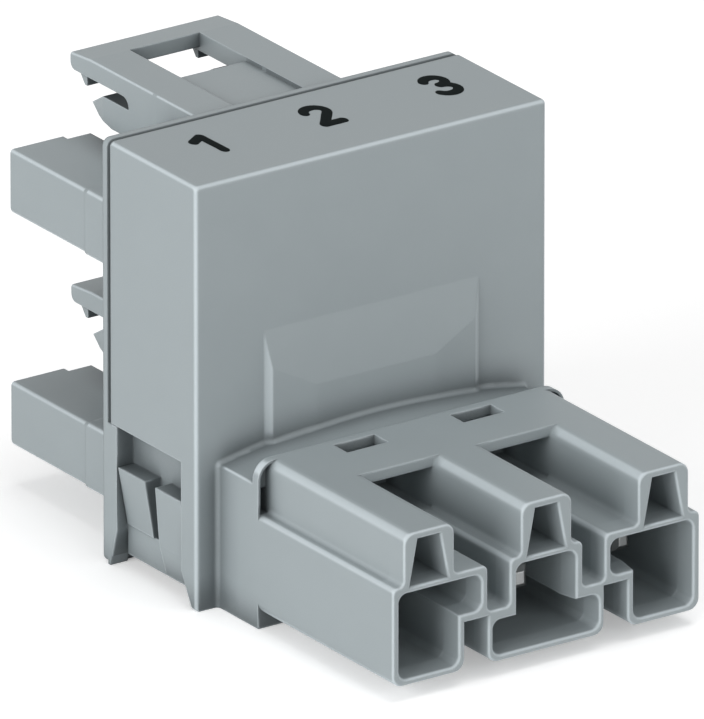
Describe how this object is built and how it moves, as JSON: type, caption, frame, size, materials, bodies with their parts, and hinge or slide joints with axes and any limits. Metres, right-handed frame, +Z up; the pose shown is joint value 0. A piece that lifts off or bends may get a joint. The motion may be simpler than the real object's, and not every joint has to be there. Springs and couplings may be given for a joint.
{
  "type": "three-pole distribution connector",
  "caption": "Grey mains distribution connector: a plug in front and two stacked sockets behind a box-shaped hood, with locking levers.",
  "frame": {"origin": "on the surface the connector stands on, under the middle of its outer box", "axes": "+Z up, +Y from the plug face to the sockets, +X across the poles from pole 1 to pole 3"},
  "size_m": [0.03, 0.05, 0.0322],
  "materials": {
    "grey_plastic": "satin moulded plastic",
    "lever_plastic": "satin moulded plastic",
    "copper": "rolled copper strip",
    "tinned_copper": "tin plated",
    "spring_steel": "rolled spring steel"
  },
  "bodies": {
    "housing": {"front_housing": "grey_plastic", "rear_housing": "grey_plastic", "busbar_1": "copper", "busbar_2": "copper", "busbar_3": "copper", "plug_pin_1": "tinned_copper", "plug_pin_2": "tinned_copper", "plug_pin_3": "tinned_copper", "socket_contact_lower_1": "tinned_copper", "socket_contact_lower_2": "tinned_copper", "socket_contact_lower_3": "tinned_copper", "socket_contact_upper_1": "tinned_copper", "socket_contact_upper_2": "tinned_copper", "socket_contact_upper_3": "tinned_copper", "contact_spring_lower_1": "spring_steel", "contact_spring_lower_2": "spring_steel", "contact_spring_lower_3": "spring_steel", "contact_spring_upper_1": "spring_steel", "contact_spring_upper_2": "spring_steel", "contact_spring_upper_3": "spring_steel"},
    "lever_lower": {"locking_lever_lower": "lever_plastic"},
    "lever_upper": {"locking_lever_upper": "lever_plastic"}
  },
  "joints": [
    {"name": "lever_hinge_lower", "type": "hinge", "parent": "housing", "child": "lever_lower", "pos_m": [0, 0.01175, 0.0109], "axis": [1, 0, 0], "range_deg": [0, 6], "stiffness_Nm_per_rad": 0.01, "springref_deg": -5.73},
    {"name": "lever_hinge_upper", "type": "hinge", "parent": "housing", "child": "lever_upper", "pos_m": [0, 0.01175, 0.02865], "axis": [1, 0, 0], "range_deg": [0, 6], "stiffness_Nm_per_rad": 0.01, "springref_deg": -5.73}
  ]
}
